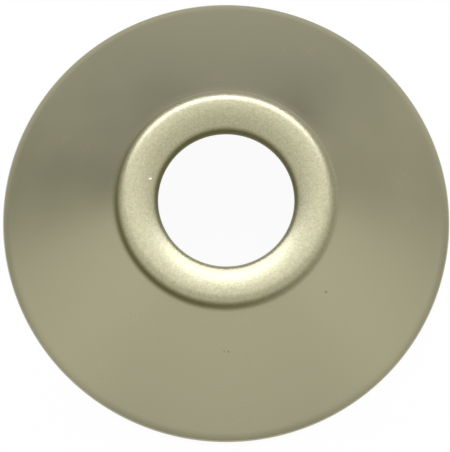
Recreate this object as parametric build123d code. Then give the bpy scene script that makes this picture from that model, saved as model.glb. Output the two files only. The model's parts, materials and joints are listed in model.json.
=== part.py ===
from math import asin, atan2, cos, degrees, hypot, radians, sin
import os

from build123d import *

os.makedirs("parts", exist_ok=True)

# Pipe escutcheon: a conical cover plate with a rounded collar round the pipe hole,
# pressed from one sheet. Millimetres, +Z away from the wall.
# The origin is the centre of the rim, in the plane of the wall.

# Main sizes
flange_diameter = 76.2
overall_height = 17.5
hole_diameter = 22.2
sheet = 0.8

# Collar: the raised ring between the hole and the flange
crest_diameter = 32.0  # highest line of the collar
crown_slope = 28.0  # how far the crown leans into the hole where it meets the lip, degrees
lip_bend = 0.6  # inside radius where the crown turns down into the hole
lip_land = 0.8  # straight wall of the hole
shoulder_bend = 1.4  # inside radius where the crown turns down outside
shoulder_slope = 68.0  # steepest part of the shoulder, degrees from level
crease_round = 0.6  # show-side radius where the collar meets the flange

# Rim: trimmed square where it sits on the wall
rim_edge = 0.5  # height of the upright cut edge
rim_break = 0.25  # bevel that breaks the corner between the flange and the cut edge

# Derived sizes, on the show face
hole_radius = hole_diameter / 2
rim_radius = flange_diameter / 2
crest_radius = crest_diameter / 2
lip_radius = lip_bend + sheet
shoulder_radius = shoulder_bend + sheet
crown_run = crest_radius - hole_radius - lip_radius * (1 - sin(radians(crown_slope)))
crown_radius = crown_run / sin(radians(crown_slope))
crown_drop = crown_radius * (1 - cos(radians(crown_slope)))
land_top = overall_height - crown_drop - lip_radius * cos(radians(crown_slope))


def flange_slope(crease_centre, rim_point):
    """Slope of the line from the rim that just touches the crease round, in degrees."""
    across = rim_point.X - crease_centre.X
    up = crease_centre.Y - rim_point.Y
    sight = atan2(up, across)
    return degrees(sight - asin(crease_round / hypot(across, up)))


def show_face():
    """The show side of the sheet in section, from the hole out past the rim."""
    land_end = Vector(hole_radius, land_top - lip_land)
    land = Line(land_end, Vector(hole_radius, land_top))
    lip = JernArc(land @ 1, land % 1, lip_radius, crown_slope - 90)
    crown = JernArc(lip @ 1, lip % 1, crown_radius, -crown_slope)
    shoulder = JernArc(crown @ 1, crown % 1, shoulder_radius, -shoulder_slope)

    outward = Vector(sin(radians(shoulder_slope)), cos(radians(shoulder_slope)))
    crease_centre = shoulder @ 1 + outward * crease_round
    slope = flange_slope(crease_centre, Vector(rim_radius, rim_edge))
    crease = JernArc(shoulder @ 1, shoulder % 1, crease_round, shoulder_slope - slope)
    overrun = 4 * sheet
    flange_length = (rim_radius - (crease @ 1).X) / cos(radians(slope)) + overrun
    flange = PolarLine(crease @ 1, flange_length, -slope)
    return Wire([land, lip, crown, shoulder, crease, flange])


def sheet_section():
    """The sheet in section, trimmed square at the rim."""
    strip = make_face(offset(show_face(), sheet, side=Side.RIGHT, closed=True))
    inside_rim = Rectangle(rim_radius, overall_height, align=Align.MIN)
    section = strip & inside_rim
    rim_corner = section.vertices().sort_by_distance(Vector(rim_radius, rim_edge))[0]
    return chamfer(rim_corner, rim_break)


escutcheon = revolve(Plane.XZ * sheet_section(), Axis.Z)
escutcheon.label = "escutcheon"

export_step(escutcheon, "parts/escutcheon.step")
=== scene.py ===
"""A satin-nickel pipe escutcheon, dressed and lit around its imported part.

Metres, with +Z away from the wall. The near side, at the foot of the picture, is -Y.
"""

import json
import logging
import math
from dataclasses import dataclass, field
from enum import Enum
from typing import Any

import bmesh
import bpy
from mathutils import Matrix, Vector


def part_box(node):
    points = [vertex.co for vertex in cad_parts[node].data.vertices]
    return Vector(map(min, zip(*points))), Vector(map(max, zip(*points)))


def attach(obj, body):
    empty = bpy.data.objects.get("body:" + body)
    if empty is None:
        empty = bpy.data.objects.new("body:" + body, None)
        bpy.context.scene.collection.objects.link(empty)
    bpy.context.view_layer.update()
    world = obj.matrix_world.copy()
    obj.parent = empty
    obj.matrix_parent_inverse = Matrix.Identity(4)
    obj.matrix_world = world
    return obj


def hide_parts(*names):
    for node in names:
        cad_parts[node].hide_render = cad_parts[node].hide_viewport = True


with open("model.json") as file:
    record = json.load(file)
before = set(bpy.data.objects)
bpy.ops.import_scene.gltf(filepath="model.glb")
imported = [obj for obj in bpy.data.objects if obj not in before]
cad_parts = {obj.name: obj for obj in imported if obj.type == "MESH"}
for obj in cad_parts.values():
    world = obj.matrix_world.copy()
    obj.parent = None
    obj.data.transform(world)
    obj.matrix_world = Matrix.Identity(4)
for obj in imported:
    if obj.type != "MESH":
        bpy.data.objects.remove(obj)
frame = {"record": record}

LOG = logging.getLogger("escutcheon")
NODE = "escutcheon"
BODY = "root"
MM = 0.001

Colour = tuple[float, float, float]
Span = tuple[float, float]

WHITE: Colour = (1.0, 1.0, 1.0)

# A noise node gives numbers about this one.
NOISE_MIDDLE = 0.5

# Sockets of a Mix node that mixes colours, by number: its inputs, then its result.
MIX_AMOUNT, MIX_UNDER, MIX_OVER = 0, 6, 7
MIX_RESULT = 2

# Watts for each square metre of an area lamp that looks as bright as a world of strength 1.
LAMP_WATTS = 4.0


class Face(Enum):
    """The two faces of the sheet, by the number of their material slot."""

    SHOW = 0
    BACK = 1


class Blemish(Enum):
    """What a mark is: its colour, how far it covers the plating and whether it is metal."""

    NICK = ((0.9, 0.88, 0.76), 1.0, True)
    SPECK = ((0.04, 0.036, 0.025), 0.45, False)

    def __init__(self, colour: Colour, cover: float, is_metal: bool) -> None:
        """Name the three parts of the value.

        Args:
            colour: the colour of the mark.
            cover: how far it covers the plating, from 0 to 1.
            is_metal: whether it shines as metal does.
        """
        self.colour = colour
        self.cover = cover
        self.is_metal = is_metal


def rgba(colour: Colour) -> tuple[float, float, float, float]:
    """Make a colour opaque."""
    return (*colour, 1.0)


def mesh_object(name: str, bm: bmesh.types.BMesh) -> bpy.types.Object:
    """Put a finished bmesh into the scene.

    Args:
        name: the name of the object and of its mesh.
        bm: the bmesh, which is freed.

    Returns:
        The new object, at the origin.
    """
    mesh = bpy.data.meshes.new(name)
    bm.to_mesh(mesh)
    bm.free()
    made = bpy.data.objects.new(name, mesh)
    bpy.context.scene.collection.objects.link(made)
    return made


def put_facing(obj: bpy.types.Object, target: Vector, towards: Vector, distance: float) -> None:
    """Put a lamp or a camera into the scene, facing a point.

    Args:
        obj: the lamp or camera.
        target: the point that it faces.
        towards: the direction from the point to it, of length 1.
        distance: how far away it is.
    """
    obj.location = target + towards * distance
    obj.rotation_euler = towards.to_track_quat("Z", "Y").to_euler()
    bpy.context.scene.collection.objects.link(obj)


class Value:
    """One number of a shader graph, whose arithmetic adds Math nodes."""

    def __init__(self, graph: "Graph", socket: bpy.types.NodeSocket) -> None:
        """Keep the graph and the socket that gives the number."""
        self.graph = graph
        self.socket = socket

    def __add__(self, other: "Value | float") -> "Value":
        """Add."""
        return self.graph.math("ADD", self, other)

    def __radd__(self, other: float) -> "Value":
        """Add, with the number first."""
        return self.graph.math("ADD", other, self)

    def __sub__(self, other: "Value | float") -> "Value":
        """Subtract."""
        return self.graph.math("SUBTRACT", self, other)

    def __rsub__(self, other: float) -> "Value":
        """Subtract from a number."""
        return self.graph.math("SUBTRACT", other, self)

    def __mul__(self, other: "Value | float") -> "Value":
        """Multiply."""
        return self.graph.math("MULTIPLY", self, other)

    def __rmul__(self, other: float) -> "Value":
        """Multiply, with the number first."""
        return self.graph.math("MULTIPLY", other, self)

    def __truediv__(self, other: "Value | float") -> "Value":
        """Divide."""
        return self.graph.math("DIVIDE", self, other)

    def __pow__(self, other: "Value | float") -> "Value":
        """Raise to a power."""
        return self.graph.math("POWER", self, other)

    def at_least(self, other: "Value | float") -> "Value":
        """Take the larger of the two."""
        return self.graph.math("MAXIMUM", self, other)

    def rise(self, low: float, high: float) -> "Value":
        """Go smoothly from 0 to 1.

        Args:
            low: where the result is still 0.
            high: where the result has reached 1.

        Returns:
            A number from 0 to 1.
        """
        span = {"Value": self, "From Min": low, "From Max": high}
        ramp = self.graph.node("MapRange", {"interpolation_type": "SMOOTHSTEP"}, span)
        return Value(self.graph, ramp.outputs[0])

    def step(self, middle: float, blur: float) -> "Value":
        """Go from 0 to 1 at the middle, blurred to both sides of it."""
        return self.rise(middle - blur, middle + blur)

    def within(self, low: float, high: float, blur: float) -> "Value":
        """Be 1 between low and high and 0 outside, with blurred edges."""
        return self.step(low, blur) * (1 - self.step(high, blur))


class Graph:
    """The node tree of one material or of the world."""

    def __init__(self, owner: bpy.types.Material | bpy.types.World) -> None:
        """Start from an empty tree.

        Args:
            owner: the material or world that the tree belongs to.
        """
        owner.use_nodes = True
        self.tree = owner.node_tree
        self.tree.nodes.clear()

    def node(
        self,
        kind: str,
        settings: dict[str, Any] | None = None,
        inputs: dict[str | int, Any] | None = None,
    ) -> bpy.types.Node:
        """Add one node.

        Args:
            kind: the node's type, without its ShaderNode prefix.
            settings: its own properties, which are set first.
            inputs: a number, colour, vector, value or socket for each of its sockets.

        Returns:
            The new node.
        """
        made = self.tree.nodes.new("ShaderNode" + kind)
        for name, setting in (settings or {}).items():
            setattr(made, name, setting)
        for name, given in (inputs or {}).items():
            source = given.socket if isinstance(given, Value) else given
            if isinstance(source, bpy.types.NodeSocket):
                self.tree.links.new(source, made.inputs[name])
            else:
                made.inputs[name].default_value = source
        return made

    def math(self, operation: str, first: Value | float, second: Value | float) -> Value:
        """Add one Math node and return its result."""
        sockets = {0: first, 1: second}
        return Value(self, self.node("Math", {"operation": operation}, sockets).outputs[0])

    def place(self) -> bpy.types.NodeSocket:
        """Return the point on the surface in the object's own metres."""
        return self.node("TexCoord").outputs["Object"]

    def split(self, vector: bpy.types.NodeSocket) -> tuple[Value, Value, Value]:
        """Return the three parts of a vector."""
        parts = self.node("SeparateXYZ", inputs={0: vector}).outputs
        return Value(self, parts["X"]), Value(self, parts["Y"]), Value(self, parts["Z"])

    def noise(self, size: float, detail: float) -> Value:
        """Add even noise over the surface.

        Args:
            size: the width of its spots in metres.
            detail: how many finer layers it has.

        Returns:
            A number about 0, mostly from -0.25 to 0.25.
        """
        sockets = {"Vector": self.place(), "Scale": 1 / size, "Detail": detail}
        return Value(self, self.node("TexNoise", inputs=sockets).outputs[0]) - NOISE_MIDDLE

    def shade(self, colour: Colour, amount: Value) -> bpy.types.NodeSocket:
        """Return a colour made lighter or darker by an amount."""
        sockets = {0: colour, "Scale": amount}
        return self.node("VectorMath", {"operation": "SCALE"}, sockets).outputs[0]

    def blend(
        self, amount: Value, under: bpy.types.NodeSocket, over: Colour
    ) -> bpy.types.NodeSocket:
        """Lay one colour over another.

        Args:
            amount: how far the upper colour covers, from 0 to 1.
            under: the socket of the lower colour.
            over: the upper colour.

        Returns:
            The socket of the blended colour.
        """
        sockets = {MIX_AMOUNT: amount, MIX_UNDER: under, MIX_OVER: rgba(over)}
        return self.node("Mix", {"data_type": "RGBA"}, sockets).outputs[MIX_RESULT]

    def seen_directly(self) -> Value:
        """Tell what is seen from light that only falls on other surfaces.

        Returns:
            1 for rays from the camera, off metal and through glass, and 0 for the rest.
        """
        path = self.node("LightPath").outputs
        seen = Value(self, path["Is Camera Ray"])
        mirrored = Value(self, path["Is Glossy Ray"])
        through_glass = Value(self, path["Is Transmission Ray"])
        return seen.at_least(mirrored).at_least(through_glass)


@dataclass(frozen=True)
class Mark:
    """A small blemish on the show face, placed as seen along the axis of the plate."""

    kind: Blemish
    x: float
    y: float
    length: float
    width: float
    turn: float = 0.0
    edge: Span = (0.4, 1.3)  # where it starts to fade and has faded, as a share of the oval's area

    def cover(self, x: Value, y: Value) -> Value:
        """Draw the mark as a soft-edged oval.

        Args:
            x: the point's place from left to right.
            y: the point's place from the near side to the far side.

        Returns:
            How far the mark covers the plating, which is 0 outside it.
        """
        cos, sin = math.cos(self.turn), math.sin(self.turn)
        along = ((x - self.x) * cos + (y - self.y) * sin) / (self.length / 2)
        across = ((y - self.y) * cos - (x - self.x) * sin) / (self.width / 2)
        inside = 1 - (along * along + across * across).rise(*self.edge)
        return inside * self.kind.cover


@dataclass(frozen=True)
class PaintedShade:
    """Painted shade: a darker colour in the crease round the collar, darkest on the near left, and
    on the far side of the lip of the hole.
    """

    crease_radius: float
    hole_radius: float
    # the dark colour that the painted shade blends towards
    colour: Colour = (0.1, 0.093, 0.02)
    strength: float = 0.88
    roughness: float = 0.16  # what it adds to the roughness of the metal

    # In the crease
    up_collar: float = 0.77 * MM  # how far it goes from the crease up the collar
    onto_flange: float = 0.08 * MM  # how far it goes from the crease onto the flange
    crease_blur: float = 0.45 * MM
    shaded_side: float = math.radians(-150)  # where the painted shade is darkest, from +X towards +Y
    shaded_reach: Span = (-0.75, 1.0)  # cosine from that side where it is faintest, and darkest
    shaded_spread: float = 0.09 * MM  # how much further out it lies on that side
    faint_share: float = 0.3  # what is left of it where it is faintest

    # On the lip
    lip_width: float = 0.55 * MM
    lip_blur: float = 0.6 * MM
    lip_reach: Span = (-1.0, 0.2)  # y / radius where it starts, on the near side, and is full

    def cover(self, x: Value, y: Value, radius: Value) -> Value:
        """Work out how far the painted shade covers the metal.

        Args:
            x: the point's place from left to right.
            y: the point's place from the near side to the far side.
            radius: the point's distance from the axis.

        Returns:
            0 where there is no painted shade, and more where it is darker.
        """
        shadedness = (x * math.cos(self.shaded_side) + y * math.sin(self.shaded_side)) / radius
        share = self.faint_share + shadedness.rise(*self.shaded_reach) * (1 - self.faint_share)
        inner_edge = self.crease_radius - self.up_collar
        outer_edge = self.crease_radius + self.onto_flange
        spread = radius - shadedness * self.shaded_spread
        crease = spread.within(inner_edge, outer_edge, self.crease_blur) * share
        lip = 1 - radius.step(self.hole_radius + self.lip_width, self.lip_blur)
        lip = lip * (y / radius).rise(*self.lip_reach)
        return crease.at_least(lip) * self.strength


@dataclass(frozen=True)
class SatinNickel:
    """Plated sheet with a satin surface: a warm grey metal with a fine blasted grain."""

    name: str
    colour: Colour
    collar_radius: float  # where the finish of the collar gives way to that of the flange
    collar_roughness: float
    flange_roughness: float
    grain_height: float
    grain_tone: float
    cloud_tone: float
    # painted shade: a darker colour in the crease and on the far side of the lip
    painted_shade: PaintedShade | None = None
    marks: tuple[Mark, ...] = ()
    collar_blur: float = 0.3 * MM
    grain_size: float = 0.36 * MM
    grain_detail: float = 2.0
    grain_roughness: float = 0.1
    flange_grain: float = 0.1  # what is left of the grain on the flange
    cloud_size: float = 9.0 * MM
    cloud_detail: float = 3.0
    cloud_roughness: float = 0.08

    def material(self) -> bpy.types.Material:
        """Make the material on Object coordinates.

        Returns:
            The finished material.
        """
        made = bpy.data.materials.new(self.name)
        graph = Graph(made)
        x, y, _ = graph.split(graph.place())
        radius = (x * x + y * y) ** 0.5
        on_flange = radius.step(self.collar_radius, self.collar_blur)
        grain_share = 1 - on_flange * (1 - self.flange_grain)
        grain = graph.noise(self.grain_size, self.grain_detail) * grain_share
        cloud = graph.noise(self.cloud_size, self.cloud_detail)

        colour = graph.shade(self.colour, 1 + grain * self.grain_tone + cloud * self.cloud_tone)
        change = self.flange_roughness - self.collar_roughness
        roughness = self.collar_roughness + on_flange * change
        roughness = roughness + cloud * self.cloud_roughness + grain * self.grain_roughness
        # Painted shade: the colour is darkened in the crease round the collar and on the far side
        # of the lip.
        if self.painted_shade:
            painted_shade_cover = self.painted_shade.cover(x, y, radius)
            colour = graph.blend(painted_shade_cover, colour, self.painted_shade.colour)
            roughness = roughness + painted_shade_cover * self.painted_shade.roughness
        metallic: Value | float = 1.0
        for mark in self.marks:
            cover = mark.cover(x, y)
            colour = graph.blend(cover, colour, mark.kind.colour)
            if not mark.kind.is_metal:
                metallic = metallic * (1 - cover)

        bump = graph.node("Bump", inputs={
            "Strength": 1.0, "Distance": self.grain_height, "Height": grain,
        })
        metal = graph.node("BsdfPrincipled", inputs={
            "Base Color": colour, "Metallic": metallic, "Roughness": roughness,
            "Normal": bump.outputs[0],
        })
        graph.node("OutputMaterial", inputs={"Surface": metal.outputs[0]})
        return made


class SectionLine:
    """A line in the XZ plane that grows from its last point."""

    def __init__(self, bm: bmesh.types.BMesh, start: Vector) -> None:
        """Set the first point."""
        self.bm = bm
        self.tip = bm.verts.new(start)

    def run(self, target: Vector, steps: int = 1) -> None:
        """Draw a straight run to a point, in equal steps.

        Args:
            target: the end of the run.
            steps: how many edges it has.
        """
        step = (target - self.tip.co) / steps
        for _ in range(steps):
            self.tip = bmesh.ops.extrude_vert_indiv(self.bm, verts=[self.tip])["verts"][0]
            bmesh.ops.translate(self.bm, verts=[self.tip], vec=step)

    def turn(self, centre: Vector, angle: float, steps: int) -> None:
        """Draw an arc about a centre, clockwise where X is to the right and Z up.

        Args:
            centre: the centre of the arc.
            angle: how far it goes round, in radians.
            steps: how many chords it has.
        """
        swept = bmesh.ops.spin(
            self.bm, geom=[self.tip], cent=centre, axis=(0, 1, 0), angle=angle, steps=steps
        )
        self.tip = next(v for v in swept["geom_last"] if isinstance(v, bmesh.types.BMVert))


@dataclass
class Escutcheon:
    """The plate: flange, collar and lip of the pipe hole, pressed from one sheet."""

    rim_radius: float
    height: float
    hole_radius: float
    sheet: float = 0.8 * MM

    # Collar, with its bends as inside radii and its slopes from level
    crest_radius: float = 16.0 * MM
    crown_slope: float = math.radians(28.0)
    lip_bend: float = 0.6 * MM
    lip_land: float = 0.8 * MM
    shoulder_bend: float = 1.4 * MM
    shoulder_slope: float = math.radians(68.0)
    crease_round: float = 0.6 * MM

    # Rim
    rim_edge: float = 0.5 * MM
    rim_break: float = 0.25 * MM

    # Mesh
    edge_ease: float = 0.05 * MM
    edge_segments: int = 2
    sharp_angle: float = math.radians(25.0)
    weld: float = 0.001 * MM
    show_steps: int = 16
    back_steps: int = 8
    spin_steps: int = 240

    # Worked out from the sizes above
    land_top: float = field(init=False)
    lip_centre: Vector = field(init=False)
    crown_centre: Vector = field(init=False)
    shoulder_centre: Vector = field(init=False)
    crease_centre: Vector = field(init=False)
    rim_corner: Vector = field(init=False)
    flange_slope: float = field(init=False)

    @classmethod
    def from_frame(cls) -> "Escutcheon":
        """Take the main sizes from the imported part.

        Returns:
            The plate at the size of its node.
        """
        _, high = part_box(NODE)
        bore = next(m for m in frame["record"]["mounts"] if m["kind"] == "bore")
        return cls(rim_radius=high.x, height=high.z, hole_radius=bore["dims"]["r_mm"] * MM)

    def __post_init__(self) -> None:
        """Work out the centres of the bends and the slope of the flange."""
        lip = self.lip_bend + self.sheet
        shoulder = self.shoulder_bend + self.sheet
        reach = self.crest_radius - self.hole_radius - lip * (1 - math.sin(self.crown_slope))
        crown = reach / math.sin(self.crown_slope)
        lip_top = self.height - crown * (1 - math.cos(self.crown_slope))
        self.land_top = lip_top - lip * math.cos(self.crown_slope)
        self.lip_centre = Vector((self.hole_radius + lip, 0, self.land_top))
        self.crown_centre = Vector((self.crest_radius, 0, self.height - crown))
        self.shoulder_centre = Vector((self.crest_radius, 0, self.height - shoulder))
        outward = Vector((math.sin(self.shoulder_slope), 0, math.cos(self.shoulder_slope)))
        self.crease_centre = self.shoulder_centre + outward * (shoulder + self.crease_round)
        self.rim_corner = Vector((self.rim_radius, 0, self.rim_edge))
        fall = self.rim_corner - self.crease_centre
        sight = math.atan2(-fall.z, fall.x)
        self.flange_slope = sight - math.asin(self.crease_round / fall.length)

    @property
    def crease_radius(self) -> float:
        """Distance from the axis to the middle of the crease."""
        middle_slope = (self.shoulder_slope + self.flange_slope) / 2
        return self.crease_centre.x - self.crease_round * math.sin(middle_slope)

    def draw_face(self, line: SectionLine, steps: int) -> None:
        """Draw one face of the sheet from the hole to the end of the crease.

        Both faces turn about the same centres, so the wall keeps its thickness.

        Args:
            line: the line, with its last point at the foot of the hole's wall.
            steps: how many chords each bend has. The crease has half as many.
        """
        line.run(Vector((line.tip.co.x, 0, self.land_top)))
        line.turn(self.lip_centre, math.pi / 2 - self.crown_slope, steps)
        line.turn(self.crown_centre, self.crown_slope, steps)
        line.turn(self.shoulder_centre, self.shoulder_slope, steps)
        line.turn(self.crease_centre, self.flange_slope - self.shoulder_slope, steps // 2)

    def spin(self, bm: bmesh.types.BMesh, face: Face) -> None:
        """Sweep a line of the section round the axis.

        Args:
            bm: the mesh, whose edges without faces are the line.
            face: the face of the sheet that the line draws.
        """
        before = set(bm.faces)
        edges = [e for e in bm.edges if not e.link_faces]
        points = list({v for e in edges for v in e.verts})
        bmesh.ops.spin(
            bm, geom=points + edges, axis=(0, 0, 1), cent=(0, 0, 0),
            angle=math.tau, steps=self.spin_steps, use_merge=True,
        )
        for made in set(bm.faces) - before:
            made.material_index = face.value
            made.smooth = True

    def build(self) -> bpy.types.Object:
        """Model the plate.

        Returns:
            The object, at the origin with its place in its mesh.
        """
        bm = bmesh.new()
        land_foot = Vector((self.hole_radius, 0, self.land_top - self.lip_land))
        rim_foot = Vector((self.rim_radius, 0, 0))
        down = Vector((math.cos(self.flange_slope), 0, -math.sin(self.flange_slope)))

        show = SectionLine(bm, land_foot)
        self.draw_face(show, self.show_steps)
        show.run(self.rim_corner - down * self.rim_break, self.show_steps)
        show.run(self.rim_corner - Vector((0, 0, self.rim_break)))
        show.run(rim_foot)
        self.spin(bm, Face.SHOW)

        back = SectionLine(bm, land_foot)
        back.run(land_foot + Vector((self.sheet, 0, 0)))
        self.draw_face(back, self.back_steps)
        to_wall = back.tip.co.z / math.sin(self.flange_slope)
        back.run(back.tip.co + down * to_wall, self.back_steps)
        back.run(rim_foot)
        self.spin(bm, Face.BACK)

        bmesh.ops.remove_doubles(bm, verts=bm.verts[:], dist=self.weld)
        bmesh.ops.recalc_face_normals(bm, faces=bm.faces[:])
        corners = [e for e in bm.edges if e.calc_face_angle(0.0) > self.sharp_angle]
        bmesh.ops.bevel(
            bm, geom=corners, offset=self.edge_ease, offset_type="OFFSET", affect="EDGES",
            segments=self.edge_segments, profile=0.5, material=-1, clamp_overlap=True,
        )
        plate = mesh_object("escutcheon_plate", bm)
        plate.data.set_sharp_from_angle(angle=self.sharp_angle)
        return plate

    @staticmethod
    def marks() -> tuple[Mark, ...]:
        """List the blemishes of the show face.

        Returns:
            A nick on the collar and specks on the flange.
        """
        return (
            Mark(
                Blemish.NICK, x=-12.3 * MM, y=3.1 * MM, length=0.6 * MM, width=0.28 * MM,
                turn=math.radians(20),
            ),
            Mark(Blemish.SPECK, x=16.2 * MM, y=-14.9 * MM, length=0.5 * MM, width=0.45 * MM),
            Mark(Blemish.SPECK, x=0.35 * MM, y=-24.4 * MM, length=0.35 * MM, width=0.3 * MM),
            Mark(Blemish.SPECK, x=-0.35 * MM, y=-24.4 * MM, length=0.3 * MM, width=0.25 * MM),
        )

    def finish_of(self, face: Face) -> SatinNickel:
        """Return the finish of one face of the sheet.

        Args:
            face: the face. The back is duller, and has no painted shade and no marks.

        Returns:
            The finish.
        """
        if face is Face.BACK:
            return SatinNickel(
                name="satin_nickel_back",
                colour=(0.33, 0.32, 0.21),
                collar_radius=self.crease_radius,
                collar_roughness=0.5,
                flange_roughness=0.5,
                grain_height=0.015 * MM,
                grain_tone=0.35,
                cloud_tone=0.2,
            )
        return SatinNickel(
            name="satin_nickel",
            colour=(0.378, 0.36, 0.236),
            collar_radius=self.crease_radius,
            collar_roughness=0.42,
            flange_roughness=0.26,
            grain_height=0.02 * MM,
            grain_tone=0.6,
            cloud_tone=0.08,
            # painted shade in the crease and on the far side of the lip
            painted_shade=PaintedShade(self.crease_radius, self.hole_radius),
            marks=self.marks(),
        )

    def dress(self, plate: bpy.types.Object) -> None:
        """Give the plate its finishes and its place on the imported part.

        Args:
            plate: the object from build.
        """
        for face in Face:
            finish = self.finish_of(face)
            plate.data.materials.append(finish.material())
            LOG.info("finish: %s", finish.name)
        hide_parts(NODE)
        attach(plate, BODY)


@dataclass(frozen=True)
class Floor:
    """A pale floor that shows as white and keeps the plate's shadow."""

    size: float = 4.0
    colour: Colour = (0.6, 0.6, 0.6)
    white: float = 0.94  # how far it shows as plain white, seen directly

    def material(self) -> bpy.types.Material:
        """Make the floor's material.

        Returns:
            A matt paint that is mostly plain white where it is seen directly.
        """
        made = bpy.data.materials.new("pale_floor")
        graph = Graph(made)
        paint = graph.node("BsdfDiffuse", inputs={"Color": rgba(self.colour)})
        white = graph.node("Emission", inputs={"Color": rgba(WHITE), "Strength": 1.0})
        mixed = graph.node("MixShader", inputs={
            0: graph.seen_directly() * self.white, 1: paint.outputs[0], 2: white.outputs[0],
        })
        graph.node("OutputMaterial", inputs={"Surface": mixed.outputs[0]})
        return made

    def build(self) -> bpy.types.Object:
        """Lay the floor that the rim stands on.

        Returns:
            The floor's object.
        """
        bm = bmesh.new()
        bmesh.ops.create_grid(bm, x_segments=1, y_segments=1, size=self.size / 2)
        floor = mesh_object("studio_floor", bm)
        floor.data.materials.append(self.material())
        return floor


@dataclass(frozen=True)
class Sky:
    """Soft light from all round: pale sides that meet a brighter ceiling.

    Places are parts of a direction of length 1: X to the right, Y to the far side, Z up.
    """

    # Near side
    near_level: float = 1.1
    near_top: float = 0.22  # Z at which it has its full level, from none at the horizon
    foot_shade: float = 0.5  # how far its lowest part, about -Y, is darkened
    foot_sides: Span = (-0.95, -0.5)  # Y at which that darkening is full and has ended
    foot_top: Span = (0.26, 0.32)  # Z at which that darkening starts to fade and has ended

    # Far side
    far_level: float = 0.52
    far_edge: float = 0.22  # Y at which it takes over from the near side
    far_blur: float = 0.3
    far_fade: Span = (0.62, 0.96)  # Y at which it starts to fade and has gone
    right_lift: float = 0.2  # how much brighter it is on the right, and darker on the left

    # Ceiling
    ceiling_near: float = 0.88
    ceiling_far: float = 5.0
    ceiling_curve: float = 3.3  # how late it brightens on its way to the far side
    ceiling_edge: Span = (0.46, 1.0)  # Z at which it starts and is full
    ceiling_tilt: float = 0.16  # how much higher that is on the far side

    def level(self, graph: Graph) -> Value:
        """Work out how bright each direction is.

        Args:
            graph: the world's graph.

        Returns:
            The strength of the light, where 1 shows as white.
        """
        x, y, z = graph.split(graph.node("TexCoord").outputs["Generated"])
        foot = (1 - y.rise(*self.foot_sides)) * (1 - z.rise(*self.foot_top))
        near = self.near_level * z.rise(0.0, self.near_top) * (1 - foot * self.foot_shade)
        far = self.far_level * (1 - y.rise(*self.far_fade))
        farness = y.step(self.far_edge, self.far_blur)
        sides = near * (1 - farness) + far * farness
        sides = sides * (1 + x * farness * self.right_lift)

        across = ((y + 1) / 2) ** self.ceiling_curve
        ceiling = self.ceiling_near + across * (self.ceiling_far - self.ceiling_near)
        overhead = (z - y.at_least(0.0) * self.ceiling_tilt).rise(*self.ceiling_edge)
        return sides + overhead * (ceiling - sides)

    def build(self) -> bpy.types.World:
        """Make the world.

        Returns:
            The world, which the scene uses.
        """
        world = bpy.data.worlds.new("studio_light")
        bpy.context.scene.world = world
        graph = Graph(world)
        light = {"Color": rgba(WHITE), "Strength": self.level(graph)}
        background = graph.node("Background", inputs=light)
        graph.node("OutputWorld", inputs={"Surface": background.outputs[0]})
        return world


@dataclass(frozen=True)
class Softbox:
    """A broad soft lamp on the far side, facing the plate."""

    azimuth: float = math.radians(-1.0)  # from the far side, +Y, towards +X
    elevation: float = math.radians(39.5)
    distance: float = 0.7
    width: float = 1.04
    height: float = 0.285
    brightness: float = 5.0  # as seen, where 1 shows as white
    colour: Colour = (0.97, 0.99, 1.15)

    def build(self) -> bpy.types.Object:
        """Set up the lamp.

        Returns:
            The lamp's object.
        """
        light = bpy.data.lights.new("key_softbox", "AREA")
        light.shape = "RECTANGLE"
        light.size, light.size_y = self.width, self.height
        light.energy = self.brightness * LAMP_WATTS * self.width * self.height
        light.color = self.colour
        lamp = bpy.data.objects.new("key_softbox", light)
        level = math.cos(self.elevation)
        across, along = level * math.sin(self.azimuth), level * math.cos(self.azimuth)
        towards = Vector((across, along, math.sin(self.elevation)))
        put_facing(lamp, Vector(), towards, self.distance)
        return lamp


@dataclass(frozen=True)
class PhotoCamera:
    """A camera nearly overhead that leans to the near side."""

    lens: float = 144.2
    lean: float = math.radians(11.5)  # from the axis of the plate
    distance: float = 0.3
    aim: tuple[float, float, float] = (-0.2 * MM, -3.15 * MM, 9.0 * MM)
    nearest: float = 0.01

    def build(self) -> bpy.types.Object:
        """Set up the camera.

        Returns:
            The camera's object, which the scene uses.
        """
        optics = bpy.data.cameras.new("photo_camera")
        optics.lens = self.lens
        optics.clip_start = self.nearest
        camera = bpy.data.objects.new("photo_camera", optics)
        towards = Vector((0, -math.sin(self.lean), math.cos(self.lean)))
        put_facing(camera, Vector(self.aim), towards, self.distance)
        bpy.context.scene.camera = camera
        return camera


def main() -> None:
    """Build the plate and the studio in order."""
    logging.basicConfig(level=logging.INFO, format="%(name)s: %(message)s")
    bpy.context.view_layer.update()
    bpy.context.scene.view_settings.view_transform = "Standard"

    escutcheon = Escutcheon.from_frame()
    plate = escutcheon.build()
    escutcheon.dress(plate)
    slope = math.degrees(escutcheon.flange_slope)
    LOG.info("%s: %d faces, flange at %.2f degrees", plate.name, len(plate.data.polygons), slope)

    for piece in (Floor(), Sky(), Softbox(), PhotoCamera()):
        built = piece.build()
        LOG.info("studio: %s", built.name)


if __name__ == "__main__":
    main()
